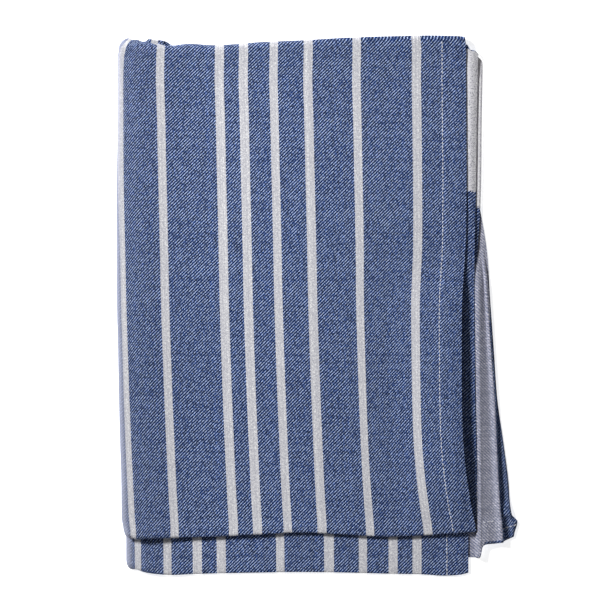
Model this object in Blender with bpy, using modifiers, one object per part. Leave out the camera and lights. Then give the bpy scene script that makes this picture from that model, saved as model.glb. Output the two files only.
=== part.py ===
"""A striped cotton tea towel, folded into quarters and laid flat.

Metres, +Z up. The origin is under the middle of the folded towel, on the surface that it lies on.
+X runs across the stripes, +Y along them, and the towel is looked at from above.

The towel is one sheet. It is folded in half at the left crease, good side out, and the pair of
halves is folded in half again at the top crease, so that four layers lie on each other:

    layer 1  first half,  good side up      its lower end is turned in, on to layer 3
    layer 2  second half, good side down
    layer 3  second half, good side up      its lower end is turned in, on to the floor
    layer 4  first half,  good side down    on the floor, pleated along its free edge
"""

import math
from collections import namedtuple

import bmesh
import bpy

MM = 0.001

# The cloth, and how its layers lie.
CLOTH_THICKNESS = 1.1 * MM
LAYER_PITCH = 1.6 * MM  # from the middle of one layer to the middle of the next
WAVE_HEIGHT = 0.5 * MM  # slow unevenness of the upper layers
CREASE_SWELL = 3.0 * MM  # what the left crease adds to the pitch of a pair of layers
CREASE_REACH = 22 * MM
TOP_SWELL = 2.4 * MM  # what the top crease adds to the pitch between the pairs
TOP_REACH = 24 * MM
INNER_CREASE_STEP = 1.2 * MM  # the second half's top crease lies this far inside the first's

# The free edge of layer 1 stands off the layers below, low on the right.
EDGE_LIFT = 4.0 * MM
EDGE_LIFT_REACH = 55 * MM
EDGE_LIFT_MIDDLE_Y = -75 * MM
EDGE_LIFT_HALF_LENGTH = 95 * MM

# Ends of the towel. A turned-in end grows from nothing at the left crease.
FIRST_TUCK = 12 * MM
FIRST_TUCK_AT_EDGE = 4 * MM
SECOND_TUCK = 10 * MM
TUCK_START = 0.4 * MM
LEAST_TURN = 0.02  # of a half turn
OPEN_BEND = 0.7  # the cloth in a bend that opens out, as a share of a full one's
TUCK_CLEARANCE = 5 * MM  # from a turned-in end to the plain end that lies beside it
TUCK_SOFTNESS = 0.7 * MM  # what the fold of the first one adds to the pitch
TUCK_SOFTNESS_REACH = 12 * MM
PLAIN_END = 6 * MM  # the stretch that a plain end's last rows share out
CORNER_DIP = 7 * MM  # how far the second half's top crease sinks towards its free edge
CORNER_DIP_REACH = 32 * MM

# Layer 4 is pleated along its free edge: a ridge, a hollow with a raised rim, and a flat margin.
RIDGE_X = 115.9 * MM
RIDGE_HALF_WIDTH = 2.1 * MM
RIM_STEP = 1.3 * MM
PLEATS_BEGIN_Y = 24 * MM
PLEATS_FULL_Y = -18 * MM
LANE_END = 18 * MM  # the stretch that its last rows share out, so that they meet the hem's corner

# Lanes along the free edge, from the edge inwards, in millimetres: how far in each one lies where
# the layer isn't pleated, how high the pleats lift it, and where it ends on layer 4.
Lane = namedtuple("Lane", "name inset rise end_y")
LANES = (
    Lane("edge", 0.0, 0.0, -169.0),
    Lane("margin", 1.5, 0.0, -169.5),
    Lane("rim", 3.0, 1.3, -170.0),
    Lane("hollow", 5.0, 0.7, -171.0),
    Lane("right foot", 7.0, 0.5, -172.0),
    Lane("ridge", 9.0, 2.1, -180.0),
    Lane("left foot", 11.5, 0.0, -181.5),
)

# Lines down the towel, in millimetres: where each pair of layers turns at the left crease, and
# where each layer's free edge lies.
SIDE_COLUMNS = ("y", "upper_crease", "lower_crease", "edge_1", "edge_2", "edge_3", "edge_4", "rim")
SIDE_LINES = (
    (195, -138.5, -138.0, 105.5, 110.0, 110.0, 104.0, 101.0),
    (187, -142.0, -141.5, 106.7, 114.5, 117.0, 106.0, 103.0),
    (177, -143.5, -142.5, 106.9, 115.6, 118.8, 107.5, 104.5),
    (134, -143.7, -142.3, 107.1, 114.8, 118.3, 111.0, 108.0),
    (83, -144.4, -142.2, 107.3, 114.1, 117.7, 115.5, 113.0),
    (40, -144.4, -141.8, 106.6, 113.3, 115.5, 122.3, 119.8),
    (4, -144.4, -141.1, 103.9, 113.1, 112.7, 124.8, 122.4),
    (-32, -143.4, -140.4, 103.5, 113.4, 110.9, 127.4, 124.8),
    (-68, -142.6, -139.3, 103.6, 113.8, 109.8, 130.0, 126.9),
    (-97, -141.9, -138.2, 104.4, 114.5, 109.3, 133.5, 128.3),
    (-125, -141.2, -137.5, 107.3, 115.0, 109.1, 137.0, 129.6),
    (-151, -140.8, -136.8, 112.0, 115.2, 108.9, 139.3, 131.2),
    (-155, -140.5, -136.7, 113.0, 115.2, 108.9, 144.3, 131.8),
    (-165, -138.6, -136.4, 114.3, 115.2, 108.9, 142.0, 133.0),
    (-195, -138.0, -136.1, 114.3, 115.2, 108.9, 139.6, 133.4),
)

# Lines across the towel, in millimetres: the top crease, and the folds that turn the ends in.
CROSS_COLUMNS = ("x", "top_crease", "first_fold", "second_fold")
CROSS_LINES = (
    (-145, 190.5, -161.0, -188.5),
    (-139, 192.5, -165.0, -189.5),
    (-131, 191.4, -167.6, -190.2),
    (-122, 191.6, -167.5, -192.8),
    (-106, 187.8, -167.0, -194.3),
    (-93, 189.0, -166.7, -193.8),
    (-74, 188.0, -166.2, -193.2),
    (-41, 190.2, -164.6, -192.6),
    (-13, 191.4, -163.2, -192.2),
    (20, 193.3, -164.8, -192.6),
    (50, 194.3, -166.2, -193.4),
    (78, 194.9, -165.2, -194.0),
    (90, 194.8, -164.4, -194.9),
    (103, 194.4, -163.6, -194.2),
    (110, 193.4, -163.0, -192.6),
    (120, 192.0, -162.6, -192.0),
)

# Where across the towel a column's fold lines and creases are read.
UPPER_END_Y = -160 * MM
LOWER_END_Y = -185 * MM
CREASE_READ_Y = 170 * MM

# The grid of the sheet: places in millimetres from the crease that they are counted from, closer
# where the cloth bends, and the steps of each turn.
COLUMNS_FROM_CREASE = (0, 2.5, 6, 12, 22, 38, 56, 76, 96, 116, 136, 156, 176, 196, 214, 228, 238)
SECOND_HALF_INSETS = (0, 5)
ROWS_FROM_TOP = (0, 3, 8, 15, 26, 42, 62, 84, 106, 128, 150, 172, 194, 216, 238, 260, 282, 304, 326)
LEFT_TURN_STEPS = 6
TOP_TURN_STEPS = 6
END_TURN_STEPS = 4
TUCK_STEPS = 2
END_STEPS = TUCK_STEPS + END_TURN_STEPS

TOWEL_COLOUR = (0.098, 0.137, 0.273, 1.0)
TOWEL_ROUGHNESS = 0.9


def smooth_step(value, low, high):
    """0 up to low, 1 from high, and a smooth climb between them."""
    share = min(max((value - low) / (high - low), 0.0), 1.0)
    return share * share * (3 - 2 * share)


def bump(value, middle, half_width):
    """1 at the middle, falling smoothly to 0 at half_width on each side."""
    return 1 - smooth_step(abs(value - middle), 0, half_width)


def mix(a, b, share):
    return a + (b - a) * share


def read_table(columns, rows, name, at):
    """A column of a table, in metres, on a smooth curve through the values of its rows."""
    column = columns.index(name)
    knots = sorted((row[0] * MM, row[column] * MM) for row in rows)
    at = min(max(at, knots[0][0]), knots[-1][0])
    k = next(i for i in range(len(knots) - 1) if at <= knots[i + 1][0])

    def slope(i):
        (x_0, y_0), (x_1, y_1) = knots[max(i - 1, 0)], knots[min(i + 1, len(knots) - 1)]
        return (y_1 - y_0) / (x_1 - x_0)

    (x_0, y_0), (x_1, y_1) = knots[k], knots[k + 1]
    span = x_1 - x_0
    t = (at - x_0) / span
    from_start = (2 * t**3 - 3 * t**2 + 1) * y_0 + (t**3 - 2 * t**2 + t) * span * slope(k)
    from_end = (3 * t**2 - 2 * t**3) * y_1 + (t**3 - t**2) * span * slope(k + 1)
    return from_start + from_end


def side_line(name, y):
    return read_table(SIDE_COLUMNS, SIDE_LINES, name, y)


def cross_line(name, x):
    return read_table(CROSS_COLUMNS, CROSS_LINES, name, x)


# Heights of the layers.


def swell(distance, height, reach):
    """A soft crease holds its layers apart, less and less away from it."""
    return height * math.exp(-2 * (max(distance, 0.0) / reach) ** 2)


def pair_gap(x, y):
    """From layer 4 to layer 3, and from layer 2 to layer 1 where that one lies down."""
    return LAYER_PITCH + swell(x - side_line("upper_crease", y), CREASE_SWELL, CREASE_REACH)


def middle_gap(x, y):
    """From layer 3 to layer 2."""
    along, across = y / (52 * MM), x / (31 * MM)
    wave = 0.5 + 0.25 * (math.sin(across + along) + math.sin(1.4 * along - 0.45 * across))
    return LAYER_PITCH + swell(cross_line("top_crease", x) - y, TOP_SWELL, TOP_REACH) + WAVE_HEIGHT * wave


def upper_pair_gap(x, y):
    """From layer 2 to layer 1, which stands off at its free edge and over its turned-in end."""
    edge, fold = side_line("edge_1", y), cross_line("first_fold", x)
    lifted = smooth_step(x, edge - EDGE_LIFT_REACH, edge)
    lifted *= bump(y, EDGE_LIFT_MIDDLE_Y, EDGE_LIFT_HALF_LENGTH)
    softened = 1 - smooth_step(y, fold, fold + TUCK_SOFTNESS_REACH)
    return pair_gap(x, y) + EDGE_LIFT * lifted + TUCK_SOFTNESS * softened


def level(layer, x, y):
    """The height of the middle of the cloth in a layer."""
    z = CLOTH_THICKNESS / 2
    if layer < 4:
        z += pair_gap(x, y)
    if layer < 3:
        z += middle_gap(x, y)
    if layer < 2:
        z += upper_pair_gap(x, y)
    return z


# Places of the grid's columns. A column runs down both layers of its half: it is one of the lanes
# along the free edge, a plain inset from that edge, or a share of the way there from the crease.

Column = namedtuple("Column", "share inset lane")


def crease_side(layer, y):
    """Where a layer meets the turn round the left crease."""
    line = side_line("upper_crease" if layer < 3 else "lower_crease", y)
    gap = upper_pair_gap(line, y) if layer < 3 else pair_gap(line, y)
    return line + CLOTH_THICKNESS / 2 + gap / 2


def pleated_share(y):
    return 1 - smooth_step(y, PLEATS_FULL_Y, PLEATS_BEGIN_Y)


def lane_x(lane, y):
    """A lane of layer 4, which follows the pleats where there are any."""
    edge, rim = side_line("edge_4", y), side_line("rim", y)
    right_foot, left_foot = RIDGE_X + RIDGE_HALF_WIDTH, RIDGE_X - RIDGE_HALF_WIDTH
    pleated = {
        "edge": edge,
        "margin": rim + RIM_STEP,
        "rim": rim,
        "hollow": (rim + right_foot) / 2,
        "right foot": right_foot,
        "ridge": RIDGE_X,
        "left foot": left_foot,
    }
    return mix(edge - lane.inset * MM, pleated[lane.name], pleated_share(y))


def column_x(column, layer, y):
    if column.lane and layer == 4:
        return lane_x(column.lane, y)
    if column.share is None:
        return side_line(f"edge_{layer}", y) - column.inset
    inner_lane = LANES[-1]
    last = lane_x(inner_lane, y) if layer == 4 else side_line(f"edge_{layer}", y) - inner_lane.inset * MM
    return mix(crease_side(layer, y), last, column.share)


def layer_point(column, layer, y, at_level=None):
    """A column's point in a layer, or on the level of another one."""
    x = column_x(column, layer, y)
    z = level(at_level or layer, x, y)
    if column.lane and layer == 4:
        z += column.lane.rise * MM * pleated_share(y)
    return (x, y, z)


# Ends and rows of a column.


def along_towel(x):
    """How far x lies from the left crease to the free edges, 0 to 1."""
    return smooth_step(x, -140 * MM, 110 * MM)


def turned_in(x):
    """0 by the left crease, where no end is turned in, and 1 where it is."""
    return smooth_step(x, -138 * MM, -126 * MM)


def first_tuck(x):
    share = along_towel(x)
    return mix(TUCK_START, FIRST_TUCK, min(2 * share, 1)) - (FIRST_TUCK - FIRST_TUCK_AT_EDGE) * share**3


def second_tuck(x):
    return mix(TUCK_START, SECOND_TUCK, along_towel(x))


def plain_end_y(x, fold, tuck):
    """A plain end stops short of the turned-in end that lies beside it."""
    return fold + (tuck + TUCK_CLEARANCE) * smooth_step(x, -142 * MM, -133 * MM)


def plain_end(column, layer, end_y):
    length = LANE_END if column.lane and layer == 4 else PLAIN_END
    return [layer_point(column, layer, end_y + length * k / END_STEPS) for k in range(END_STEPS + 1)]


def turned_end(column, layer, fold_y, tuck):
    """From the tip of a turned-in end, round its fold, to the layer's first free row.

    Near the left crease the fold opens out to a straight end, and its bend takes less cloth there,
    so that it stays above the layer below.
    """
    fold_y += CLOTH_THICKNESS / 2
    x = column_x(column, layer, fold_y)
    high, low = level(layer, x, fold_y), level(layer + 1, x, fold_y)
    share = max(turned_in(x), LEAST_TURN)
    turn = math.pi * share
    radius = (high - low) / 2 / share * mix(OPEN_BEND, 1, share**4)
    start_y = fold_y + radius * math.sin(min(turn, math.pi / 2))
    tip_y, tip_z = start_y - radius * math.sin(turn), high - radius * (1 - math.cos(turn))
    points = []
    for k in range(TUCK_STEPS):
        flat = tuck * (1 - k / TUCK_STEPS)
        y, z = tip_y - flat * math.cos(turn), tip_z - flat * math.sin(turn)
        points.append((x, y, z + share * (level(layer + 1, x, y) - low)))
    for k in range(END_TURN_STEPS + 1):
        angle = turn * (1 - k / END_TURN_STEPS)
        points.append((x, start_y - radius * math.sin(angle), high - radius * (1 - math.cos(angle))))
    return points


def free_rows(column, layer, y_low, y_high):
    """The rows of a layer between the turn at the top crease and its end."""
    offsets = [row * MM for row in ROWS_FROM_TOP]
    scale = (y_high - y_low) / (2 * offsets[-1] - offsets[-2])
    rows = []
    for offset in offsets:
        stretch = mix(1.0, scale, smooth_step(offset, 0, offsets[-1] / 3))
        rows.append(layer_point(column, layer, y_high - offset * stretch))
    return rows


def turn_centre(column, high_layer, low_layer):
    """Where the turn round the top crease has its centre. The second half's lies inside."""
    x = column_x(column, high_layer, CREASE_READ_Y)
    y = cross_line("top_crease", x)
    outer_radius = (level(1, x, y) - level(4, x, y)) / 2
    radius = (level(high_layer, x, y) - level(low_layer, x, y)) / 2
    crease_y = y - CLOTH_THICKNESS / 2
    if high_layer == 2:
        edge = side_line("edge_2", CREASE_READ_Y)
        crease_y -= outer_radius - radius - LAYER_PITCH / 2 + INNER_CREASE_STEP
        crease_y -= CORNER_DIP * smooth_step(x, edge - CORNER_DIP_REACH, edge)
    return crease_y - radius


def top_turn(high, low):
    """The points round the top crease, from a layer's first row to that of the layer below it."""
    middle, radius = (high[2] + low[2]) / 2, (high[2] - low[2]) / 2
    points = []
    for k in range(1, TOP_TURN_STEPS):
        angle = math.pi * k / TOP_TURN_STEPS
        x = mix(high[0], low[0], k / TOP_TURN_STEPS)
        points.append((x, high[1] + radius * math.sin(angle), middle + radius * math.cos(angle)))
    return points


def first_half(column):
    """A column's points down layer 1 and layer 4, from one end of the towel to the other."""
    x = column_x(column, 1, UPPER_END_Y)
    start = turned_end(column, 1, cross_line("first_fold", x), first_tuck(x))
    centre = turn_centre(column, 1, 4)
    upper = free_rows(column, 1, start[-1][1], centre)
    x = column_x(column, 4, LOWER_END_Y)
    end_y = plain_end_y(x, cross_line("second_fold", x), second_tuck(x))
    end = plain_end(column, 4, column.lane.end_y * MM if column.lane else end_y)
    lower = free_rows(column, 4, end[-1][1], centre)
    return start + upper[::-1] + top_turn(upper[0], lower[0]) + lower + end[::-1]


def second_half(column):
    """The same down layer 2 and layer 3."""
    x = column_x(column, 2, UPPER_END_Y)
    start = plain_end(column, 2, plain_end_y(x, cross_line("first_fold", x), first_tuck(x)))
    centre = turn_centre(column, 2, 3)
    upper = free_rows(column, 2, start[-1][1], centre)
    x = column_x(column, 3, LOWER_END_Y)
    end = turned_end(column, 3, cross_line("second_fold", x), second_tuck(x))
    lower = free_rows(column, 3, end[-1][1], centre)
    return start + upper[::-1] + top_turn(upper[0], lower[0]) + lower + end[::-1]


def left_turn(first, second):
    """The columns round the left crease, between the two halves' columns beside it."""
    columns = []
    for k in range(1, LEFT_TURN_STEPS):
        angle = math.pi * k / LEFT_TURN_STEPS
        column = []
        for a, b in zip(first, second):
            x, y, z = (mix(p, q, (1 - math.cos(angle)) / 2) for p, q in zip(a, b))
            column.append((x - math.dist(a, b) / 2 * math.sin(angle), y, z))
        columns.append(column)
    return columns


def sheet_columns():
    """Every column of the sheet, from the first half's free edge to the second's."""
    inner_inset = LANES[-1].inset
    shares = [place / (COLUMNS_FROM_CREASE[-1] + inner_inset) for place in COLUMNS_FROM_CREASE]
    plain = [Column(share, None, None) for share in shares]
    lanes = [Column(None, lane.inset * MM, lane) for lane in LANES]
    margins = [Column(None, inset * MM, None) for inset in SECOND_HALF_INSETS]
    first = [first_half(column) for column in lanes + plain[::-1]]
    second = [second_half(column) for column in plain + margins[::-1]]
    return first + left_turn(first[-1], second[0]) + second


def make_towel(name, columns):
    """A flat grid, folded by moving each of its points to its place."""
    across, along = len(columns) - 1, len(columns[0]) - 1
    bm = bmesh.new()
    bmesh.ops.create_grid(bm, x_segments=across, y_segments=along, size=1.0)
    for vert in bm.verts:
        column = round((vert.co.x + 1) / 2 * across)
        row = round((vert.co.y + 1) / 2 * along)
        vert.co = columns[column][row]
    mesh = bpy.data.meshes.new(name)
    bm.to_mesh(mesh)
    bm.free()
    mesh.shade_smooth()
    towel = bpy.data.objects.new(name, mesh)
    solid = towel.modifiers.new("Thickness", "SOLIDIFY")
    solid.thickness = CLOTH_THICKNESS
    solid.offset = 0
    return towel


def make_material(name):
    material = bpy.data.materials.new(name)
    material.use_nodes = True
    shader = material.node_tree.nodes["Principled BSDF"]
    shader.inputs["Base Color"].default_value = TOWEL_COLOUR
    shader.inputs["Roughness"].default_value = TOWEL_ROUGHNESS
    shader.inputs["Metallic"].default_value = 0.0
    return material


def centre_over_origin(towel):
    """Moves the towel's points so that its box is centred over the origin and stands on z = 0."""
    bpy.context.view_layer.update()
    solid = towel.evaluated_get(bpy.context.evaluated_depsgraph_get()).to_mesh()
    corners = [vert.co.copy() for vert in solid.vertices]
    low = [min(corner[axis] for corner in corners) for axis in range(3)]
    high = [max(corner[axis] for corner in corners) for axis in range(3)]
    shift = ((low[0] + high[0]) / 2, (low[1] + high[1]) / 2, low[2])
    for vert in towel.data.vertices:
        vert.co = [place - moved for place, moved in zip(vert.co, shift)]


def main():
    for old in list(bpy.data.objects):
        bpy.data.objects.remove(old, do_unlink=True)
    collection = bpy.data.collections.new("Tea towel")
    bpy.context.scene.collection.children.link(collection)
    towel = make_towel("towel", sheet_columns())
    towel.data.materials.append(make_material("striped cotton twill"))
    collection.objects.link(towel)
    centre_over_origin(towel)


main()
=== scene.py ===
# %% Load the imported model
import bisect
import math
import random
from collections import namedtuple

import bmesh
import bpy
from mathutils import Matrix, Vector, noise


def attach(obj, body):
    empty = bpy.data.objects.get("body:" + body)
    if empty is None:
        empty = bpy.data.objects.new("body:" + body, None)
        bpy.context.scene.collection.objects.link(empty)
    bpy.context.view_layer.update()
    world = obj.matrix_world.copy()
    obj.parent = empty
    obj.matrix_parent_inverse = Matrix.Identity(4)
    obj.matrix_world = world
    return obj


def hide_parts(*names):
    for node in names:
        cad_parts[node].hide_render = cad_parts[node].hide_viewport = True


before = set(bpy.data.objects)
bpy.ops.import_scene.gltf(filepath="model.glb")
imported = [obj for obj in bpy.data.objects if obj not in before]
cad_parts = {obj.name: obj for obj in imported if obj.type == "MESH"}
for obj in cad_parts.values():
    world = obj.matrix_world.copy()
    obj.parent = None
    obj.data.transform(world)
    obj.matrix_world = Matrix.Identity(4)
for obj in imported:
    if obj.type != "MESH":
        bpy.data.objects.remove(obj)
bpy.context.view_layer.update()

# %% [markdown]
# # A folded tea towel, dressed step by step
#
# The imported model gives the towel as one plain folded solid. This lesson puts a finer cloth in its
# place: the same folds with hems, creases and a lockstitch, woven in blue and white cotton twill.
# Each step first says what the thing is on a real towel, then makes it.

MM = 0.001

# %% [markdown]
# ## How the towel is folded
#
# The towel is one rectangle of cloth. It is folded in half at the left crease, good side out, and
# the pair of halves is folded in half again at the top crease. Four layers then lie on each other:
# layer 1 on top and layer 3 show their good side, layers 2 and 4 their reverse. The lower ends of
# layers 1 and 3 are turned in.
#
# A cloth simulation would fold it too, but the photo shows how this one towel lies, so each fold is
# placed one by one. Two short tables hold its outline: lines down the towel, and lines across it.

# %% Sizes of the cloth
WIDTH = 497 * MM  # of the flat towel, across its stripes
THICKNESS = 1.0 * MM
LAYER_PITCH = 1.6 * MM  # from the middle of one layer to the next where they lie flat

# %% Lines down the towel, in millimetres
SIDE_NAMES = ("upper_crease", "lower_crease", "edge_1", "edge_2", "edge_3", "edge_4", "rim")
SIDE_LINES = (  # y, then where each line lies
    (195, -138.3, -138.0, 105.5, 112.5, 111.5, 104.0, 101.0),
    (187, -141.8, -141.5, 106.7, 115.3, 114.4, 106.0, 103.0),
    (180.5, -143.0, -142.3, 106.9, 115.6, 115.2, 106.9, 103.9),
    (176.5, -143.3, -142.5, 106.9, 115.6, 118.4, 107.5, 104.5),
    (171, -143.4, -142.5, 106.9, 115.6, 118.9, 108.0, 105.0),
    (134, -143.5, -142.3, 107.1, 114.8, 118.3, 111.0, 108.0),
    (83, -144.2, -142.2, 107.3, 114.1, 117.7, 115.5, 113.0),
    (40, -144.0, -141.8, 106.6, 113.3, 115.5, 122.3, 119.8),
    (4, -143.8, -141.1, 103.9, 113.1, 112.7, 124.8, 122.4),
    (-32, -142.8, -140.4, 103.5, 113.4, 110.9, 127.4, 124.8),
    (-68, -142.0, -139.3, 103.6, 113.8, 109.8, 130.0, 127.4),
    (-97, -141.1, -138.2, 104.4, 114.5, 109.3, 134.1, 128.8),
    (-125, -140.1, -137.5, 107.3, 115.0, 109.1, 137.8, 130.1),
    (-151, -139.7, -136.8, 112.0, 115.2, 108.9, 140.2, 131.7),
    (-155, -139.4, -136.7, 113.0, 115.2, 108.9, 144.3, 132.3),
    (-165, -137.5, -136.4, 114.3, 115.2, 108.9, 142.0, 133.0),
    (-195, -136.9, -136.1, 114.3, 115.2, 108.9, 139.6, 133.4),
)

# %% Lines across the towel, in millimetres
CROSS_NAMES = ("top_crease", "first_fold", "second_fold")
CROSS_LINES = (  # x, then where each line lies
    (-145, 186.5, -161.0, -188.5),
    (-141, 190.8, -164.0, -189.2),
    (-139, 192.2, -165.0, -189.5),
    (-137, 192.8, -165.8, -189.7),
    (-134, 191.8, -166.8, -189.9),
    (-130, 191.6, -167.6, -190.4),
    (-126, 190.3, -167.6, -191.8),
    (-122, 192.2, -167.5, -192.8),
    (-118, 191.4, -167.4, -193.4),
    (-113, 191.1, -167.2, -193.9),
    (-109, 189.8, -167.1, -194.2),
    (-105, 187.6, -167.0, -194.3),
    (-101, 188.3, -166.9, -194.2),
    (-93, 189.0, -166.7, -193.8),
    (-74, 188.0, -166.2, -193.2),
    (-41, 190.2, -164.6, -192.6),
    (-13, 191.4, -163.2, -192.2),
    (20, 193.3, -164.8, -192.6),
    (50, 194.3, -166.2, -193.4),
    (78, 194.9, -165.2, -194.0),
    (90, 194.8, -164.4, -194.9),
    (103, 194.4, -163.6, -194.2),
    (110, 193.4, -163.0, -192.6),
    (120, 192.0, -162.6, -192.0),
)


# %% Smooth curves through the tables
def smooth_curve(knots):
    """A function that runs smoothly through (place, value) pairs and is level past their ends."""
    knots = sorted(knots)
    places = [place for place, _ in knots]
    slopes = []
    for i in range(len(knots)):
        (x_0, y_0), (x_1, y_1) = knots[max(i - 1, 0)], knots[min(i + 1, len(knots) - 1)]
        slopes.append((y_1 - y_0) / (x_1 - x_0))

    def read(at):
        at = min(max(at, places[0]), places[-1])
        k = min(max(bisect.bisect_right(places, at) - 1, 0), len(knots) - 2)
        (x_0, y_0), (x_1, y_1) = knots[k], knots[k + 1]
        span = x_1 - x_0
        t = (at - x_0) / span
        from_start = (2 * t**3 - 3 * t**2 + 1) * y_0 + (t**3 - 2 * t**2 + t) * span * slopes[k]
        return from_start + (3 * t**2 - 2 * t**3) * y_1 + (t**3 - t**2) * span * slopes[k + 1]

    return read


def millimetre_curve(knots):
    """A smooth curve whose places and values are both given in millimetres."""
    return smooth_curve([(place * MM, value * MM) for place, value in knots])


def table_curves(names, rows):
    return {
        name: millimetre_curve([(row[0], row[k]) for row in rows])
        for k, name in enumerate(names, start=1)
    }


side = table_curves(SIDE_NAMES, SIDE_LINES)
cross = table_curves(CROSS_NAMES, CROSS_LINES)
print("lines down:", ", ".join(side), "- lines across:", ", ".join(cross))


# %% Small helpers for blending
def smooth_step(value, low, high):
    """0 up to low, 1 from high, and a smooth climb between them."""
    share = min(max((value - low) / (high - low), 0.0), 1.0)
    return share * share * (3 - 2 * share)


def mix(a, b, share):
    return a + (b - a) * share


# %% [markdown]
# ## Heights of the layers
#
# Layers of a folded towel don't lie at even heights. A soft crease swells and holds them apart, the
# middle lies in slow waves, and the free edge of the top layer stands off where it was lifted last.
# Each gap is a sum of a few such soft shapes, so every one can be tuned alone.


# %% Gaps between the layers
CREASE_SWELL, CREASE_REACH = 3.0 * MM, 45 * MM  # the left crease holds its layers apart
TOP_SWELL, TOP_REACH = 2.4 * MM, 24 * MM  # and so does the top crease, over a shorter way
WAVE_HEIGHT, WAVE_ACROSS, WAVE_ALONG = 0.5 * MM, 31 * MM, 52 * MM


def swell(distance, height, reach):
    return height * math.exp(-2 * (max(distance, 0.0) / reach) ** 2)


def pair_gap(x, y):
    """Between the two layers of a pair that the left crease joins."""
    return LAYER_PITCH + swell(x - side["upper_crease"](y), CREASE_SWELL, CREASE_REACH)


def middle_gap(x, y):
    """Between the upper pair and the lower pair."""
    along, across = y / WAVE_ALONG, x / WAVE_ACROSS
    wave = 0.5 + 0.25 * (math.sin(across + along) + math.sin(1.4 * along - 0.45 * across))
    top = swell(cross["top_crease"](x) - y, TOP_SWELL, TOP_REACH)
    return LAYER_PITCH + top + WAVE_HEIGHT * wave


# %% The lifted edge of the top layer
EDGE_LIFT, EDGE_LIFT_REACH = 6.0 * MM, 55 * MM
EDGE_LIFT_ALONG = (  # y in millimetres, and the share of the lift there
    (60, 0.0), (40, 0.0), (25, 0.12), (5, 0.6), (-24, 0.72), (-60, 0.85), (-110, 1.0), (-135, 0.8),
    (-150, 0.4), (-160, 0.08), (-168, 0.0),
)
TUCK_SOFTNESS, TUCK_SOFTNESS_REACH = 0.7 * MM, 12 * MM  # its turned-in end lies loosely
lift_along = smooth_curve([(y * MM, share) for y, share in EDGE_LIFT_ALONG])


def upper_pair_gap(x, y):
    edge, fold = side["edge_1"](y), cross["first_fold"](x)
    lifted = smooth_step(x, edge - EDGE_LIFT_REACH, edge) * lift_along(y)
    softened = 1 - smooth_step(y, fold, fold + TUCK_SOFTNESS_REACH)
    return pair_gap(x, y) + EDGE_LIFT * lifted + TUCK_SOFTNESS * softened


# %% Free edges that lie down or stand up
EDGE_DROP, EDGE_DROP_REACH = 0.5 * MM, 7 * MM  # a free edge lies down on the layer below
EDGE_SWELL, EDGE_SWELL_RUN, EDGE_SWELL_STARTS = 0.7 * MM, 2.2 * MM, (45 * MM, 80 * MM)
EDGE_SWELL_LAP = 0.5 * MM  # it starts a little under the edge that lies on it
EDGE_SWELL_ENDS = {2: 3 * MM, 3: 1 * MM}  # and ends this far before each layer's own edge
TOP_WEDGE, TOP_WEDGE_STARTS = 2.4 * MM, (174 * MM, 184 * MM)  # it starts further out near the top


def edge_drop(layer, x, y):
    edge = side[f"edge_{layer}"](y)
    drop = EDGE_DROP * smooth_step(x, edge - EDGE_DROP_REACH, edge - THICKNESS)
    return drop * smooth_step(y, *EDGE_SWELL_STARTS) if layer == 2 else drop


def edge_swell(layer, x, y):
    """The upper part of the second half's edge stands up beside the edge that lies on it."""
    inner, outer = side[f"edge_{layer - 1}"](y), side[f"edge_{layer}"](y)
    if layer == 2:
        inner += TOP_WEDGE * smooth_step(y, *TOP_WEDGE_STARTS)
    beside = smooth_step(x, inner - EDGE_SWELL_LAP, inner + EDGE_SWELL_RUN)
    beside *= 1 - smooth_step(x, outer - EDGE_SWELL_ENDS[layer], outer)
    return EDGE_SWELL * beside * smooth_step(y, *EDGE_SWELL_STARTS)


# %% Heights from the surface up
def level(layer, x, y):
    """The height of the middle of the cloth in a layer."""
    z = THICKNESS / 2 - sum(edge_drop(k, x, y) for k in range(layer, 4))
    if layer in (2, 3):
        z += edge_swell(layer, x, y)
    if layer < 4:
        z += pair_gap(x, y)
    if layer < 3:
        z += middle_gap(x, y)
    if layer < 2:
        z += upper_pair_gap(x, y)
    return z


print("the top layer lies", round(level(1, 0, 0) / MM, 1), "mm up in the middle")

# %% [markdown]
# ## Where each thread lies
#
# Stripes are woven in, so they must stay on the same warp threads all through the folds. Every
# point of the cloth therefore carries its place on the flat towel: how far it lies from the first
# selvedge, across, and from the top crease, along. The weave is later drawn from those two numbers.
#
# Across, that place follows the photo. The good side's stripes run along a slightly bent line, the
# cloth is taken up a little where its free edge stands off, and it bends away over the left crease.

# %% The flat place across each layer
straight_edge = millimetre_curve((  # y, and where the first edge would lie with nothing taken up
    (180, 106.0), (163, 105.7), (134, 106.5), (105, 107.1), (76, 107.8), (40, 108.6),
    (4, 109.3), (-32, 110.4), (-68, 111.7), (-104, 113.2), (-133, 114.5), (-158, 116.0),
))
TAKE_UP_REACH, TAKE_UP_POWER, TAKE_UP_ROUNDS = 90 * MM, 1.1, 4
roll_reach = millimetre_curve((  # y, and how far from the left crease the cloth bends from the eye
    (192, 9), (184, 8.5), (177, 6.5), (112, 5.4), (4, 6.9), (-104, 8.6), (-157, 9),
))
rolled_away = millimetre_curve((  # y, and the cloth that the roll hides
    (192, 29), (187.8, 18.5), (184.2, 13.8), (177, 12.1), (150, 11), (112, 10.5), (4, 10.8),
    (-104, 9.7), (-157, 10.4),
))
LEFT_TURN_LENGTH = 9 * MM
LOWER_ROLL, LOWER_ROLL_REACH = 9.0 * MM, 7.9 * MM  # the same for the lower pair
lower_crease_flat = millimetre_curve(((180, 268.8), (0, 261.0), (-172, 253.5)))
LOWER_EDGE_FLAT = 495.5 * MM  # the last edge's own cloth is taken up a little


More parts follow.
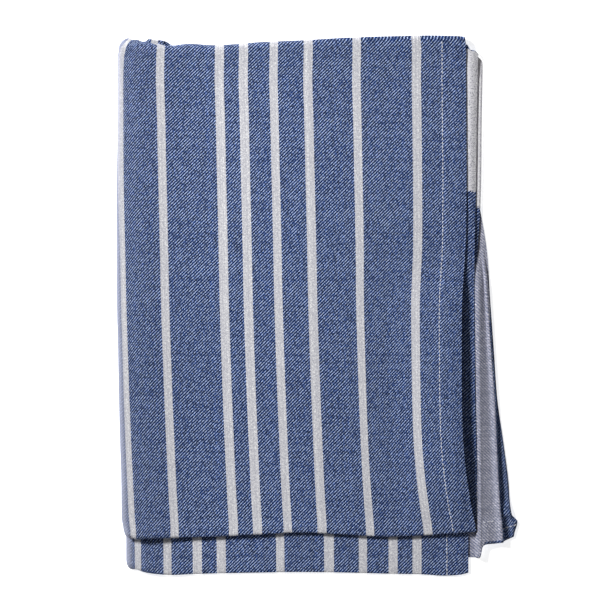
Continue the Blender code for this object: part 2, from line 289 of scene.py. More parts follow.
def flat_on_layer_1(x, y):
    taken_up = straight_edge(y) - side["edge_1"](y)
    seen = straight_edge(y) - x
    flat = seen
    for _ in range(TAKE_UP_ROUNDS):
        share = min(max(flat / TAKE_UP_REACH, 0.0), 1.0)
        flat = seen - taken_up * (1 - share**TAKE_UP_POWER)
    return flat + rolled_away(y) * math.exp(-(x - side["upper_crease"](y)) / roll_reach(y))


def flat_on_layer_2(x, y):
    crease_x, edge = crease_side(2, y), side["edge_2"](y)
    at_crease = flat_on_layer_1(crease_side(1, y), y) + LEFT_TURN_LENGTH
    return mix(at_crease, WIDTH, (x - crease_x) / (edge - crease_x))


def flat_on_layer_3(x, y):
    crease_x, edge = crease_side(3, y), side["edge_3"](y)
    flat = mix(lower_crease_flat(y), LOWER_EDGE_FLAT, (x - crease_x) / (edge - crease_x))
    return flat - LOWER_ROLL * math.exp(-(x - side["lower_crease"](y)) / LOWER_ROLL_REACH)


# %% [markdown]
# ## Columns of the sheet
#
# The cloth is a grid whose columns run along the warp threads. A column of the first half goes up
# layer 1, round the top crease and down layer 4, and one of the second half does so on layers 2 and
# 3. Near the free edge they are lanes at a set distance from it, because layer 4 is pleated there:
# a ridge, a hollow with a raised rim, and the hem as a flat margin. Everywhere else a column is a
# share of the way from the crease, so that it follows a slanting edge.

# %% Lanes along the free edge, from the edge inwards
HEM = 17 * MM
ridge_x = millimetre_curve(((10, 115.9), (-24, 116.3), (-111, 117.2), (-170, 117.4)))  # from y
RIDGE_HALF_WIDTH = 2.1 * MM
RIM_STEP, HOLLOW_SHARE = 1.3 * MM, 0.36
PLEATS_BEGIN_Y, PLEATS_FULL_Y = 45 * MM, 10 * MM
HEM_ROLLED_ABOVE_Y, HEM_SHOWS_BELOW_Y = 4 * MM, -14 * MM  # its blue face is rolled under above this
HEM_PLAIN_ABOVE_Y, HEM_SHIFTED_BELOW_Y = 165 * MM, 90 * MM
LANES = (  # name, inset where the layer is plain, rise of the pleats, end on layer 4
    ("edge", 0.0, 0.0, -166.6),
    ("margin", 1.5, 0.0, -169.9),
    ("rim", 3.0, 3.3, -170.4),
    ("hollow", 5.0, 1.6, -171.3),
    ("right foot", 7.0, 3.0, -172.6),
    ("ridge", 9.0, 3.7, -180.6),
    ("left foot", 11.5, 3.0, -181.8),
)
LAST_LANE = len(LANES) - 1
lane_inset, lane_rise, lane_end_y = (
    smooth_curve([(k, lane[part] * MM) for k, lane in enumerate(LANES)]) for part in (1, 2, 3)
)
Column = namedtuple("Column", "share inset lane")
print(len(LANES), "lanes over", LANES[-1][1], "mm")


# %% Where a column lies
def crease_side(layer, y):
    """Where a layer meets the turn round the left crease."""
    line = side["upper_crease" if layer < 3 else "lower_crease"](y)
    gap = upper_pair_gap(line, y) if layer < 3 else pair_gap(line, y)
    return line + THICKNESS / 2 + gap / 2


def pleated_share(y):
    return 1 - smooth_step(y, PLEATS_FULL_Y, PLEATS_BEGIN_Y)


def pleated_x(lane, y):
    edge, rim = side["edge_4"](y), side["rim"](y)
    ridge = ridge_x(y)
    right_foot, left_foot = ridge + RIDGE_HALF_WIDTH, ridge - RIDGE_HALF_WIDTH
    hollow = mix(rim, right_foot, HOLLOW_SHARE)
    places = (edge, rim + RIM_STEP, rim, hollow, right_foot, ridge, left_foot)
    return smooth_curve(list(enumerate(places)))(lane)


def lane_x(lane, y):
    """A lane of layer 4, which follows the pleats where there are any."""
    return mix(side["edge_4"](y) - lane_inset(lane), pleated_x(lane, y), pleated_share(y))


def flat_on_lane(lane, y):
    """The hem ends at the pleats' rim, and above them it is rolled under, out of sight."""
    shows = 1 - smooth_step(y, HEM_SHOWS_BELOW_Y, HEM_ROLLED_ABOVE_Y)
    hem_line = mix(side["edge_4"](y) + THICKNESS / 2, side["rim"](y), shows)
    shifted = 1 - smooth_step(y, HEM_SHIFTED_BELOW_Y, HEM_PLAIN_ABOVE_Y)
    return mix(lane_inset(lane), HEM + hem_line - lane_x(lane, y), shifted)


def column_x(column, layer, y):
    if layer == 4 and column.lane is not None:
        return lane_x(column.lane, y)
    if column.share is None:
        return side[f"edge_{layer}"](y) - column.inset
    inner = lane_x(LAST_LANE, y) if layer == 4 else side[f"edge_{layer}"](y) - lane_inset(LAST_LANE)
    return mix(crease_side(layer, y), inner, column.share)


def flat_across(column, layer, x, y):
    if layer == 1:
        return flat_on_layer_1(x, y)
    if layer == 2:
        return flat_on_layer_2(x, y)
    if layer == 3:
        return flat_on_layer_3(x, y)
    if column.lane is not None:
        return flat_on_lane(column.lane, y)
    at_crease = flat_on_layer_3(crease_side(3, y), y) - LEFT_TURN_LENGTH
    return mix(at_crease, flat_on_lane(LAST_LANE, y), column.share)


# %% [markdown]
# ## Hems and creases in relief
#
# A hem is the cloth's edge turned over twice and sewn down. It is thicker than the cloth beside it,
# the row of stitches pulls a groove into it, and the cloth puckers a little between stitches. These
# are soft ridges and troughs of a few tenths of a millimetre, moved into the sheet itself.

# %% Relief of the upper layers
HEM_RISE, HEM_SOFTNESS = 0.35 * MM, 3.0 * MM
GROOVE_DEPTH, GROOVE_HALF_WIDTH = 0.3 * MM, 1.1 * MM
PUCKER_HEIGHT, PUCKER_LENGTH, PUCKER_REACH = 0.22 * MM, 11 * MM, 9 * MM
CREASE_WAVE, CREASE_WAVE_LENGTH = 0.3 * MM, 38 * MM
CLEAR_OF_TOP, CLEAR_OF_FOLD = (4 * MM, 18 * MM), (3 * MM, 12 * MM)
COVERED_SHARE = 0.4  # a covered layer has less relief


def soft_noise(x, y, length, seed):
    """Slow unevenness from -1 to 1, its hollows about length apart."""
    return noise.noise(Vector((x / length, y / length, seed)), noise_basis="PERLIN_ORIGINAL")


def relief(layer, flat, x, y):
    """What a place of layer 1, 2 or 3 adds to its height."""
    from_edge = min(flat, WIDTH - flat)
    in_hem = 1 - smooth_step(from_edge, HEM - HEM_SOFTNESS / 2, HEM + HEM_SOFTNESS / 2)
    groove = math.exp(-(((from_edge - HEM) / GROOVE_HALF_WIDTH) ** 2))
    near_hem = math.exp(-(((from_edge - HEM) / PUCKER_REACH) ** 2))
    pucker = PUCKER_HEIGHT * near_hem * soft_noise(from_edge * 0.4, y, PUCKER_LENGTH, 3.1)
    waves = CREASE_WAVE * soft_noise(x, y * 0.6, CREASE_WAVE_LENGTH, 7.7)
    z = HEM_RISE * in_hem - GROOVE_DEPTH * groove + pucker + waves
    clear_of_top = smooth_step(cross["top_crease"](x) - y, *CLEAR_OF_TOP)
    clear_of_fold = smooth_step(y - cross["first_fold"](x), *CLEAR_OF_FOLD)
    return z * clear_of_top * clear_of_fold * (1.0 if layer == 1 else COVERED_SHARE)


# %% Relief of the lowest layer
END_HEM_Y, END_HEM_RISE, END_HEM_SOFTNESS = -154 * MM, 0.8 * MM, 2 * MM  # the corner's end hem
HUMP_GAP, HUMP_RISE, HUMP_TOP, HUMP_LENGTH = 1 * MM, 2.3 * MM, 2 * MM, 16 * MM  # cloth above it
BESIDE_RIDGE, BESIDE_RIM = 4 * MM, 3 * MM  # how far each takes to set in
PLEATS_HIGHER, HIGHER_LANES, HIGHER_BELOW = 1.0 * MM, (1.0, 2.0), (-150 * MM, -110 * MM)


def lowest_relief(column, x, y):
    """What a place of layer 4 adds to its height: its end hem, the cloth above that, its pleats."""
    beside_pleats = smooth_step(x, ridge_x(y), ridge_x(y) + BESIDE_RIDGE)
    on_margin = smooth_step(x, side["rim"](y), side["rim"](y) + BESIDE_RIM)
    hem = END_HEM_RISE * (1 - smooth_step(y, END_HEM_Y - END_HEM_SOFTNESS, END_HEM_Y))
    above = y - END_HEM_Y - HUMP_GAP
    hump = HUMP_RISE * smooth_step(above, 0, HUMP_TOP)
    hump *= 1 - smooth_step(above, HUMP_TOP, HUMP_LENGTH)
    z = beside_pleats * hem + on_margin * hump
    if column.lane is not None:
        higher = PLEATS_HIGHER * smooth_step(column.lane, *HIGHER_LANES)
        higher *= 1 - smooth_step(y, *HIGHER_BELOW)
        z += (max(lane_rise(column.lane), 0.0) + higher) * pleated_share(y)
    return z


# %% [markdown]
# ## Ends, turns and whole columns
#
# At an end the cloth turns under itself with a soft bend, more towards the free edge than at the
# crease. At the top crease it turns over in a half circle, and so it does round the left crease. A
# Bend modifier could do that to a flat sheet, but only about one straight line at a time. Here each
# half circle's size comes from the heights of the two layers that it joins, wherever they are.

# %% Rows of a column
ROWS_NEAR_TOP = (0, 1, 2.2, 3.6, 5.2, 7.2, 9.6, 12.6)  # below the top crease, in millimetres
ROW_STEP, LAST_ROW = 3.65, 326
END_TURN_STEPS, TUCK_STEPS, TOP_TURN_STEPS, LEFT_TURN_STEPS = 8, 3, 10, 10
END_STEPS = TUCK_STEPS + END_TURN_STEPS
UPPER_END_Y, LOWER_END_Y, CREASE_READ_Y = -160 * MM, -185 * MM, 170 * MM
Spot = namedtuple("Spot", "x y z flat")

rows_from_top = [row * MM for row in ROWS_NEAR_TOP]
while rows_from_top[-1] < LAST_ROW * MM:
    rows_from_top.append(rows_from_top[-1] + ROW_STEP * MM)


def layer_spot(column, layer, y):
    x = column_x(column, layer, y)
    flat = flat_across(column, layer, x, y)
    added = lowest_relief(column, x, y) if layer == 4 else relief(layer, flat, x, y)
    return Spot(x, y, level(layer, x, y) + added, flat)


def free_rows(column, layer, y_low, y_high):
    """The rows of a layer between the turn at the top crease and its end."""
    scale = (y_high - y_low) / (2 * rows_from_top[-1] - rows_from_top[-2])
    rows = []
    for offset in rows_from_top:
        stretch = mix(1.0, scale, smooth_step(offset, 0, rows_from_top[-1] / 3))
        rows.append(layer_spot(column, layer, y_high - offset * stretch))
    return rows


# %% Ends of a column
TUCK_START, FIRST_TUCK, FIRST_TUCK_AT_EDGE, SECOND_TUCK = 0.4 * MM, 12 * MM, 4 * MM, 10 * MM
TUCK_GROWS = (-140 * MM, 110 * MM)  # from the left crease to the free edge, in x
TUCK_CLEARANCE, CLEARANCE_SETS_IN = 5 * MM, (-142 * MM, -133 * MM)
TURN_OPENS, LEAST_TURN, OPEN_BEND = (-138 * MM, -126 * MM), 0.02, 0.7
PLAIN_END, LANE_END = 6 * MM, 18 * MM


def first_tuck(x):
    share = smooth_step(x, *TUCK_GROWS)
    shorter = (FIRST_TUCK - FIRST_TUCK_AT_EDGE) * share**3
    return mix(TUCK_START, FIRST_TUCK, min(2 * share, 1)) - shorter


def second_tuck(x):
    return mix(TUCK_START, SECOND_TUCK, smooth_step(x, *TUCK_GROWS))


def plain_end_y(x, fold, tuck):
    return fold + (tuck + TUCK_CLEARANCE) * smooth_step(x, *CLEARANCE_SETS_IN)


def plain_end(column, layer, end_y):
    length = LANE_END if layer == 4 and column.lane is not None else PLAIN_END
    return [layer_spot(column, layer, end_y + length * k / END_STEPS) for k in range(END_STEPS + 1)]


def turned_end(column, layer, fold_y, tuck):
    """From the tip of a turned-in end, round its fold, to the layer's first free row."""
    fold_y += THICKNESS / 2
    x = column_x(column, layer, fold_y)
    flat = flat_across(column, layer, x, fold_y)
    high, low = level(layer, x, fold_y), level(layer + 1, x, fold_y)
    share = max(smooth_step(x, *TURN_OPENS), LEAST_TURN)
    turn = math.pi * share
    radius = (high - low) / 2 / share * mix(OPEN_BEND, 1, share**4)
    start_y = fold_y + radius * math.sin(min(turn, math.pi / 2))
    tip_y, tip_z = start_y - radius * math.sin(turn), high - radius * (1 - math.cos(turn))
    spots = []
    for k in range(TUCK_STEPS):
        length = tuck * (1 - k / TUCK_STEPS)
        y, z = tip_y - length * math.cos(turn), tip_z - length * math.sin(turn)
        spots.append(Spot(x, y, z + share * (level(layer + 1, x, y) - low), flat))
    for k in range(END_TURN_STEPS + 1):
        angle = turn * (1 - k / END_TURN_STEPS)
        y, z = start_y - radius * math.sin(angle), high - radius * (1 - math.cos(angle))
        spots.append(Spot(x, y, z, flat))
    return spots


# %% [markdown]
# ## A wrinkle beside the top left corner
#
# The second stripe jogs aside there and the crease has a small notch, as where a short wrinkle ends
# at a fold. It could be sculpted by hand. A trough and a crest that move the nearby points by plain
# curves do the same, give the same result each time, and shift the stripe's threads with them.

# %% The wrinkle
wrinkle_y = millimetre_curve(  # its trough, from x
    ((-129, 189.6), (-121, 188.3), (-115, 187.6), (-109, 187.0), (-102, 186.4))
)
WRINKLE_STARTS, WRINKLE_ENDS = (-129 * MM, -123 * MM), (-109 * MM, -103 * MM)
WRINKLE_DEPTH, WRINKLE_RISE, WRINKLE_HALF_WIDTH = 2.2 * MM, 3.2 * MM, 1.3 * MM
WRINKLE_CREST = 2.6 * MM  # its crest lies this far beyond its trough
WRINKLE_SHIFT, SHIFT_SETS_IN = 5.4 * MM, (-0.2 * MM, 0.6 * MM)  # the stripe is set aside beyond it


def wrinkled(spot, share=1.0):
    """A spot near the top crease, moved by the wrinkle."""
    share *= smooth_step(spot.x, *WRINKLE_STARTS) * (1 - smooth_step(spot.x, *WRINKLE_ENDS))
    beyond = spot.y - wrinkle_y(spot.x)
    trough = WRINKLE_DEPTH * math.exp(-((beyond / WRINKLE_HALF_WIDTH) ** 2))
    crest = WRINKLE_RISE * math.exp(-(((beyond - WRINKLE_CREST) / WRINKLE_HALF_WIDTH) ** 2))
    aside = WRINKLE_SHIFT * smooth_step(beyond, *SHIFT_SETS_IN)
    return Spot(spot.x, spot.y, spot.z + share * (crest - trough), spot.flat - share * aside)


# %% The turn at the top crease
INNER_CREASE_STEP = 1.2 * MM
CORNER_DIP, CORNER_DIP_REACH = 3.2 * MM, 32 * MM  # of the inner crease, towards the right
TAB_DROP, TAB_PLACE = 4.0 * MM, (8.0 * MM, 5.4 * MM)  # and again beside a small tab, from the edge
CORNER_ROUND = 1.5 * MM


def turn_centre(column, high_layer, low_layer):
    x = column_x(column, high_layer, CREASE_READ_Y)
    y = cross["top_crease"](x)
    outer_radius = (level(1, x, y) - level(4, x, y)) / 2
    radius = (level(high_layer, x, y) - level(low_layer, x, y)) / 2
    crease_y = y - THICKNESS / 2
    if high_layer == 2:
        edge = side["edge_2"](CREASE_READ_Y)
        crease_y -= outer_radius - radius - LAYER_PITCH / 2 + INNER_CREASE_STEP
        crease_y -= CORNER_DIP * smooth_step(x, edge - CORNER_DIP_REACH, edge - TAB_PLACE[0])
        crease_y -= TAB_DROP * smooth_step(x, edge - TAB_PLACE[0], edge - TAB_PLACE[1])
        crease_y -= CORNER_ROUND * smooth_step(x, edge - CORNER_ROUND, edge)
    return crease_y - radius


def top_turn(high, low):
    middle, radius = (high.z + low.z) / 2, (high.z - low.z) / 2
    spots = []
    for k in range(1, TOP_TURN_STEPS):
        share = k / TOP_TURN_STEPS
        angle = math.pi * share
        y, z = high.y + radius * math.sin(angle), middle + radius * math.cos(angle)
        spots.append(Spot(mix(high.x, low.x, share), y, z, mix(high.flat, low.flat, share)))
    return spots


# %% Whole columns
TONGUE_END_Y, TONGUE_STARTS = -181.6 * MM, (105 * MM, 109 * MM)  # of layer 4, left of the pleats
TURN_SETTLES, WRINKLE_FADES = (3, 8), (4, 7)  # in steps of the top turn


def first_half(column):
    """A column down layer 1 and layer 4, from one end of the towel to the other."""
    x = column_x(column, 1, UPPER_END_Y)
    start = turned_end(column, 1, cross["first_fold"](x), first_tuck(x))
    centre = turn_centre(column, 1, 4)
    upper = free_rows(column, 1, start[-1].y, centre)
    x = column_x(column, 4, LOWER_END_Y)
    end_y = plain_end_y(x, cross["second_fold"](x), second_tuck(x))
    end_y = mix(end_y, TONGUE_END_Y, smooth_step(x, *TONGUE_STARTS))
    end = plain_end(column, 4, end_y if column.lane is None else lane_end_y(column.lane))
    lower = free_rows(column, 4, end[-1].y, centre)
    turn = []
    for k, spot in enumerate(top_turn(upper[0], lower[0])):
        flat = mix(flat_on_layer_1(spot.x, spot.y), spot.flat, smooth_step(k, *TURN_SETTLES))
        turn.append(wrinkled(spot._replace(flat=flat), 1 - smooth_step(k, *WRINKLE_FADES)))
    upper = [wrinkled(spot) for spot in upper]
    return start + upper[::-1] + turn + lower + end[::-1]


def second_half(column):
    """The same down layer 2 and layer 3."""
    x = column_x(column, 2, UPPER_END_Y)
    start = plain_end(column, 2, plain_end_y(x, cross["first_fold"](x), first_tuck(x)))
    centre = turn_centre(column, 2, 3)
    upper = free_rows(column, 2, start[-1].y, centre)
    x = column_x(column, 3, LOWER_END_Y)
    end = turned_end(column, 3, cross["second_fold"](x), second_tuck(x))
    lower = free_rows(column, 3, end[-1].y, centre)
    return start + upper[::-1] + top_turn(upper[0], lower[0]) + lower + end[::-1]


# %% The turn at the left crease
TOP_CORNER_ROUND, TOP_CORNER_STARTS = 2.6 * MM, (182 * MM, 192 * MM)


def left_turn(first, second):
    """The columns round the left crease, between the two halves' columns beside it."""
    columns = []
    for k in range(1, LEFT_TURN_STEPS):
        share = k / LEFT_TURN_STEPS
        angle = math.pi * share
        column = []
        for a, b in zip(first, second):
            x, y, z = (mix(p, q, (1 - math.cos(angle)) / 2) for p, q in zip(a[:3], b[:3]))
            x -= math.dist(a[:3], b[:3]) / 2 * math.sin(angle)
            y -= TOP_CORNER_ROUND * math.sin(angle) * smooth_step(y, *TOP_CORNER_STARTS)
            column.append(Spot(x, y, z, mix(a.flat, b.flat, share)))
        columns.append(column)
    return columns


# %% The grid of columns, close together along the hem and the crease, in millimetres
LANE_STEP = 0.25
HEM_COLUMNS = (12.4, 13.4, 14.4, 15.2, 15.9, 16.5, 17.0, 17.5, 18.1, 18.8, 19.8, 21.2, 23)
CREASE_COLUMNS = (0, 0.8, 1.8, 3, 4.5, 6.2, 8.2, 10.5)
FREE_INSETS = (9.5, 7.5, 5.5, 3.5, 2, 1, 0.4, 0)  # of the second half, from its edge
FIRST_STEP, SECOND_STEP = 2.75, 5.5
CREASE_TO_EDGE = 249.5  # across a half


def shares_to(first_places, step, last):
    """Places from the crease to the last one, close together at the start, as shares of a half."""
    places = list(first_places)
    count = round((last - places[-1]) / step)
    places += [mix(first_places[-1], last, k / count) for k in range(1, count + 1)]
    return [place / (CREASE_TO_EDGE - LANES[-1][1]) for place in places]


lane_numbers = [k * LANE_STEP for k in range(int(LAST_LANE / LANE_STEP))]
lanes = [Column(None, lane_inset(number), number) for number in lane_numbers]
inner = CREASE_TO_EDGE - LANES[-1][1]
hem_shares = [(CREASE_TO_EDGE - place) / inner for place in HEM_COLUMNS]
first_shares = shares_to(CREASE_COLUMNS, FIRST_STEP, CREASE_TO_EDGE - HEM_COLUMNS[-1] - FIRST_STEP)
second_shares = shares_to(CREASE_COLUMNS, SECOND_STEP, inner)
plan = lanes + [Column(1.0, None, float(LAST_LANE))]
plan += [Column(share, None, None) for share in hem_shares + first_shares[::-1]]
first = [first_half(column) for column in plan]
plan = [Column(share, None, None) for share in second_shares]
plan += [Column(None, inset * MM, None) for inset in FREE_INSETS]
second = [second_half(column) for column in plan]
columns = first + left_turn(first[-1], second[0]) + second
print(len(columns), "columns of", len(columns[0]), "rows")

# %% [markdown]
# ## The place along the towel
#
# Along a column the cloth doesn't stretch, so its flat place is the length walked from the top
# crease, down the upper layer and down the lower one. The same walk gives the distance to the
# nearest end, for the end hems.

# %% Flat places along each column
TOP_Y = 192 * MM
top_row = END_STEPS + len(rows_from_top)  # the last row of layers 1 and 2 before the top turn
low_row = top_row + TOP_TURN_STEPS  # the first row of layers 3 and 4 after it


def walk(column):
    """For each spot of a column, the length walked from its first one."""
    lengths = [0.0]
    for a, b in zip(column, column[1:]):
        lengths.append(lengths[-1] + math.dist(a[:3], b[:3]))
    return lengths


def flat_places(column):
    """Each spot's place on the flat towel: across, along from the top crease, and to an end."""
    lengths = walk(column)
    upper_shift = column[top_row].y - TOP_Y - lengths[top_row]
    lower_shift = TOP_Y - column[low_row].y - lengths[low_row]
    places = []
    for row, (spot, length) in enumerate(zip(column, lengths)):
        shift = mix(upper_shift, lower_shift, smooth_step(row, top_row, low_row))
        places.append(Vector((spot.flat, length + shift, min(length, lengths[-1] - length))))
    return places


flats = [flat_places(column) for column in columns]


# %% [markdown]
# ## One sheet of cloth
#
# The grid starts flat and each point moves to its place, the way the towel itself was folded. The
# Solidify modifier then gives the sheet its thickness, with the reverse as its second material.

# %% Painted light and shade on the roll of the left crease
ROLL_PAINTED_HIGHLIGHT, ROLL_PALE = 0.85, (1 * MM, 6 * MM)  # painted highlight: how much paler the crease's roll is painted, and where that fades
BESIDE_PAINTED_HIGHLIGHT, BESIDE_PALE = 0.03, (6 * MM, 40 * MM)  # a faint painted highlight on the cloth beside it, and where it fades
UPPER_PAIR_FROM = 2.4 * LAYER_PITCH  # in height


def painted_roll_light_share(spot):
    """A share of painted light and shade on the roll of the left crease, and a little beside it."""
    line = "upper_crease" if spot.z > UPPER_PAIR_FROM else "lower_crease"
    from_crease = spot.x - side[line](spot.y)
    on_roll = 1 - smooth_step(from_crease, *ROLL_PALE)
    beside = 1 - smooth_step(from_crease, *BESIDE_PALE)
    return ROLL_PAINTED_HIGHLIGHT * on_roll + BESIDE_PAINTED_HIGHLIGHT * beside * (1 - on_roll)


# %% Make the sheet
def add_object(name, bm):
    """An object from a mesh that has been built."""
    mesh = bpy.data.meshes.new(name)
    bm.to_mesh(mesh)
    bm.free()
    thing = bpy.data.objects.new(name, mesh)
    bpy.context.scene.collection.objects.link(thing)
    return thing


def make_sheet(name):
    across, along = len(columns) - 1, len(columns[0]) - 1
    bm = bmesh.new()
    bmesh.ops.create_grid(bm, x_segments=across, y_segments=along, size=1.0)
    flat_layer = bm.verts.layers.float_vector.new("flat")
    # the share of painted light and shade on the left crease's roll, for the good side's shader
    painted_roll_light_layer = bm.verts.layers.float.new("painted_roll_light")
    for vert in bm.verts:
        c = round((vert.co.x + 1) / 2 * across)
        r = round((vert.co.y + 1) / 2 * along)
        spot = columns[c][r]
        vert.co = spot[:3]
        vert[flat_layer] = flats[c][r]
        vert[painted_roll_light_layer] = painted_roll_light_share(spot)
    bmesh.ops.reverse_faces(bm, faces=bm.faces)  # so that the good side faces out
    sheet = add_object(name, bm)
    sheet.data.shade_smooth()
    solid = sheet.modifiers.new("Cloth thickness", "SOLIDIFY")
    solid.thickness = THICKNESS
    solid.offset = 0
    solid.material_offset = 1
    solid.material_offset_rim = 0
    return sheet


towel = make_sheet("tea_towel_cloth")
print("the sheet has", len(towel.data.vertices), "points")

# %% [markdown]
# ## Colours and nodes
#
# Colours are written as sRGB hex values, the way a dyer's chart gives them, and turned to the
# linear values that shaders work with. One helper adds a node with its settings and its links. The
# values that are the same all over a surface are set on the shader's own sockets.

# %% Helpers for materials
MATH, VECTOR_MATH, MIX = "ShaderNodeMath", "ShaderNodeVectorMath", "ShaderNodeMix"
RANGE, EACH = "ShaderNodeMapRange", "ShaderNodeTexWhiteNoise"  # a random value for each number
COLOURS = {"out": 2, "data_type": "RGBA"}  # for a mix of two colours
BEYOND = {**COLOURS, "clamp_factor": False}  # for one that may go a little past either


def linear(hex_colour):
    """An sRGB hex colour as linear RGBA."""
    parts = [int(hex_colour[k : k + 2], 16) / 255 for k in (1, 3, 5)]
    parts = [c / 12.92 if c <= 0.04045 else ((c + 0.055) / 1.055) ** 2.4 for c in parts]
    return (*parts, 1.0)


def between(low, high):
    """Two hex colours as a mix's inputs."""
    return {6: linear(low), 7: linear(high)}


def add_node(tree, kind, inputs=None, out=0, **settings):
    """Adds a node, sets it up, and fills or links its inputs. Returns one of its outputs."""
    node = tree.nodes.new(kind)
    for name, value in settings.items():
        setattr(node, name, value)
    for name, value in (inputs or {}).items():
        if isinstance(value, bpy.types.NodeSocket):
            tree.links.new(value, node.inputs[name])
        else:
            node.inputs[name].default_value = value
    return node.outputs[out]


def new_material(name, values):
    """A material with these values on its shader, then its node tree and its shader's sockets."""
    material = bpy.data.materials.new(name)
    material.use_nodes = True
    sockets = material.node_tree.nodes["Principled BSDF"].inputs
    for socket, value in values.items():
        sockets[socket].default_value = value
    return material, material.node_tree, sockets


# %% [markdown]
# ## Cotton twill
#
# The cloth is a four-end twill of about 17 threads to the centimetre. On the good side each blue
# warp thread passes over three light weft threads and under one, one step further on each row, which
# draws the slanting ribs. The reverse shows the opposite: mostly weft, with small blue dashes.
# White warp threads make the stripes.
#
# A picture of the weave would blur or repeat, so the shader works it out thread by thread from the
# flat place. It finds the number of the warp and the weft thread, decides which one lies on top, and
# gives every thread and every crossing a slightly different shade, as real yarn has. It also paints
# shade into the grooves between the ribs and at the edges of each dash, where the yarn dips.

# %% Sizes of the weave, in millimetres
WARP_PITCH, WEFT_PITCH = 0.595, 0.580  # from thread to thread, from the ribs in the photo
FLOAT = 4  # threads in one repeat of the twill
SLUB = 1.3  # length of a thick or thin place in the yarn
STRIPE_WIDTH, STRIPE_REPEAT = 6.25, 141.1
FIRST_STRIPE = 35.0  # the middle of the first stripe, from the first edge
STRIPES = (0.0, 42.6, 77.6, 102.3, 124.0)  # middles of the stripes in a repeat
LEAST_STRIPE = 28.0  # the first hem has no stripe


# %% Threads from the flat place
def find_threads(tree, turn_over=False):
    """The number of the warp and weft thread at a point, the place in each, and the twill's step."""
    flat = add_node(tree, "ShaderNodeAttribute", attribute_name="flat", out=1)
    scale = (1 / WARP_PITCH / MM, 1 / WEFT_PITCH / MM, 1.0 / MM)
    yarn = add_node(tree, VECTOR_MATH, {0: flat, 1: scale}, operation="MULTIPLY")
    number = add_node(tree, VECTOR_MATH, {0: yarn}, operation="FLOOR")
    within = add_node(tree, VECTOR_MATH, {0: yarn}, operation="FRACTION")
    numbers = add_node(tree, "ShaderNodeSeparateXYZ", {0: number}).node.outputs
    places = add_node(tree, "ShaderNodeSeparateXYZ", {0: within}).node.outputs
    slant = "SUBTRACT" if turn_over else "ADD"
    both = add_node(tree, MATH, {0: numbers[0], 1: numbers[1]}, operation=slant)
    step = add_node(tree, MATH, {0: both, 1: float(FLOAT)}, operation="FLOORED_MODULO")
    first = add_node(tree, MATH, {0: step, 1: 0.5}, operation="LESS_THAN")
    found = {"flat": flat, "number": number, "warp": numbers[0], "weft": numbers[1],
             "step": step, "first step": first, "to end": numbers[2]}
    for name, place in (("warp crown", places[0]), ("weft crown", places[1])):
        centred = add_node(tree, MATH, {0: place, 1: 2.0, 2: -1.0}, operation="MULTIPLY_ADD")
        squared = add_node(tree, MATH, {0: centred, 1: centred}, operation="MULTIPLY")
        found[name] = add_node(tree, MATH, {0: 1.0, 1: squared}, operation="SUBTRACT")
    return found


# %% Uneven yarn
THREAD_SPREAD = 0.28  # how much one thread's shade may differ from the next
CELL_TONES, SLUB_TONES = {3: 0.3, 4: 1.7}, {1: 0.3, 2: 0.7, 3: 0.72, 4: 1.28}


def thread_tones(tree, found):
    """A brightness for the warp and for the weft at a point, around 1."""
    cell = add_node(tree, EACH, {0: found["number"]}, noise_dimensions="2D")
    cell = add_node(tree, RANGE, {0: cell, **CELL_TONES})
    soft = {"Vector": found["flat"], "Scale": 1 / (SLUB * MM), "Detail": 0.0}
    slub = add_node(tree, "ShaderNodeTexNoise", soft, noise_dimensions="2D")
    slub = add_node(tree, RANGE, {0: slub, **SLUB_TONES})
    place = add_node(tree, MATH, {0: cell, 1: slub}, operation="MULTIPLY")
    tones = {"cell": cell}
    for name in ("warp", "weft"):
        thread = add_node(tree, EACH, {"W": found[name]}, noise_dimensions="1D")
        thread = add_node(tree, RANGE, {0: thread, 3: 1 - THREAD_SPREAD, 4: 1 + THREAD_SPREAD})
        tones[name] = add_node(tree, MATH, {0: thread, 1: place}, operation="MULTIPLY")
    return tones


# %% Stripes and ribs
WHITE, BLACK = (1, 1, 1, 1), (0, 0, 0, 1)


def stripe_chart(tree, found):
    """1 on the white warp threads, 0 on the others."""
    inputs = {0: found["warp"], 1: WARP_PITCH, 2: (WARP_PITCH + STRIPE_WIDTH) / 2 - FIRST_STRIPE}
    place = add_node(tree, MATH, inputs, operation="MULTIPLY_ADD")
    share = add_node(tree, MATH, {0: place, 1: STRIPE_REPEAT}, operation="DIVIDE")
    share = add_node(tree, MATH, {0: share}, operation="FRACT")
    chart = add_node(tree, "ShaderNodeValToRGB", {0: share}).node
    ramp = chart.color_ramp
    ramp.interpolation = "CONSTANT"
    ramp.elements[0].color, ramp.elements[0].position = WHITE, 0.0
    ramp.elements[1].color, ramp.elements[1].position = BLACK, STRIPE_WIDTH / STRIPE_REPEAT
    for middle in STRIPES[1:]:
        ramp.elements.new(middle / STRIPE_REPEAT).color = WHITE
        ramp.elements.new((middle + STRIPE_WIDTH) / STRIPE_REPEAT).color = BLACK
    past_hem = {0: place, 1: LEAST_STRIPE - FIRST_STRIPE}
    past_hem = add_node(tree, MATH, past_hem, operation="GREATER_THAN")
    return add_node(tree, MATH, {0: chart.outputs[0], 1: past_hem}, operation="MULTIPLY")


def painted_rib_shade(tree, step, shades):
    """Painted shade of a thread by the twill's step, lighter or darker by where it lies on a rib."""
    share = add_node(tree, MATH, {0: step, 1: 0.5}, operation="ADD")
    share = add_node(tree, MATH, {0: share, 1: float(FLOAT)}, operation="DIVIDE")
    chart = add_node(tree, "ShaderNodeValToRGB", {0: share}).node
    ramp = chart.color_ramp
    ramp.interpolation = "CONSTANT"
    ramp.elements[0].color = (*[shades[0]] * 3, 1)
    ramp.elements[1].position, ramp.elements[1].color = 1 / FLOAT, (*[shades[1]] * 3, 1)
    for k in (2, 3):
        ramp.elements.new(k / FLOAT).color = (*[shades[k]] * 3, 1)
    return chart.outputs[0]


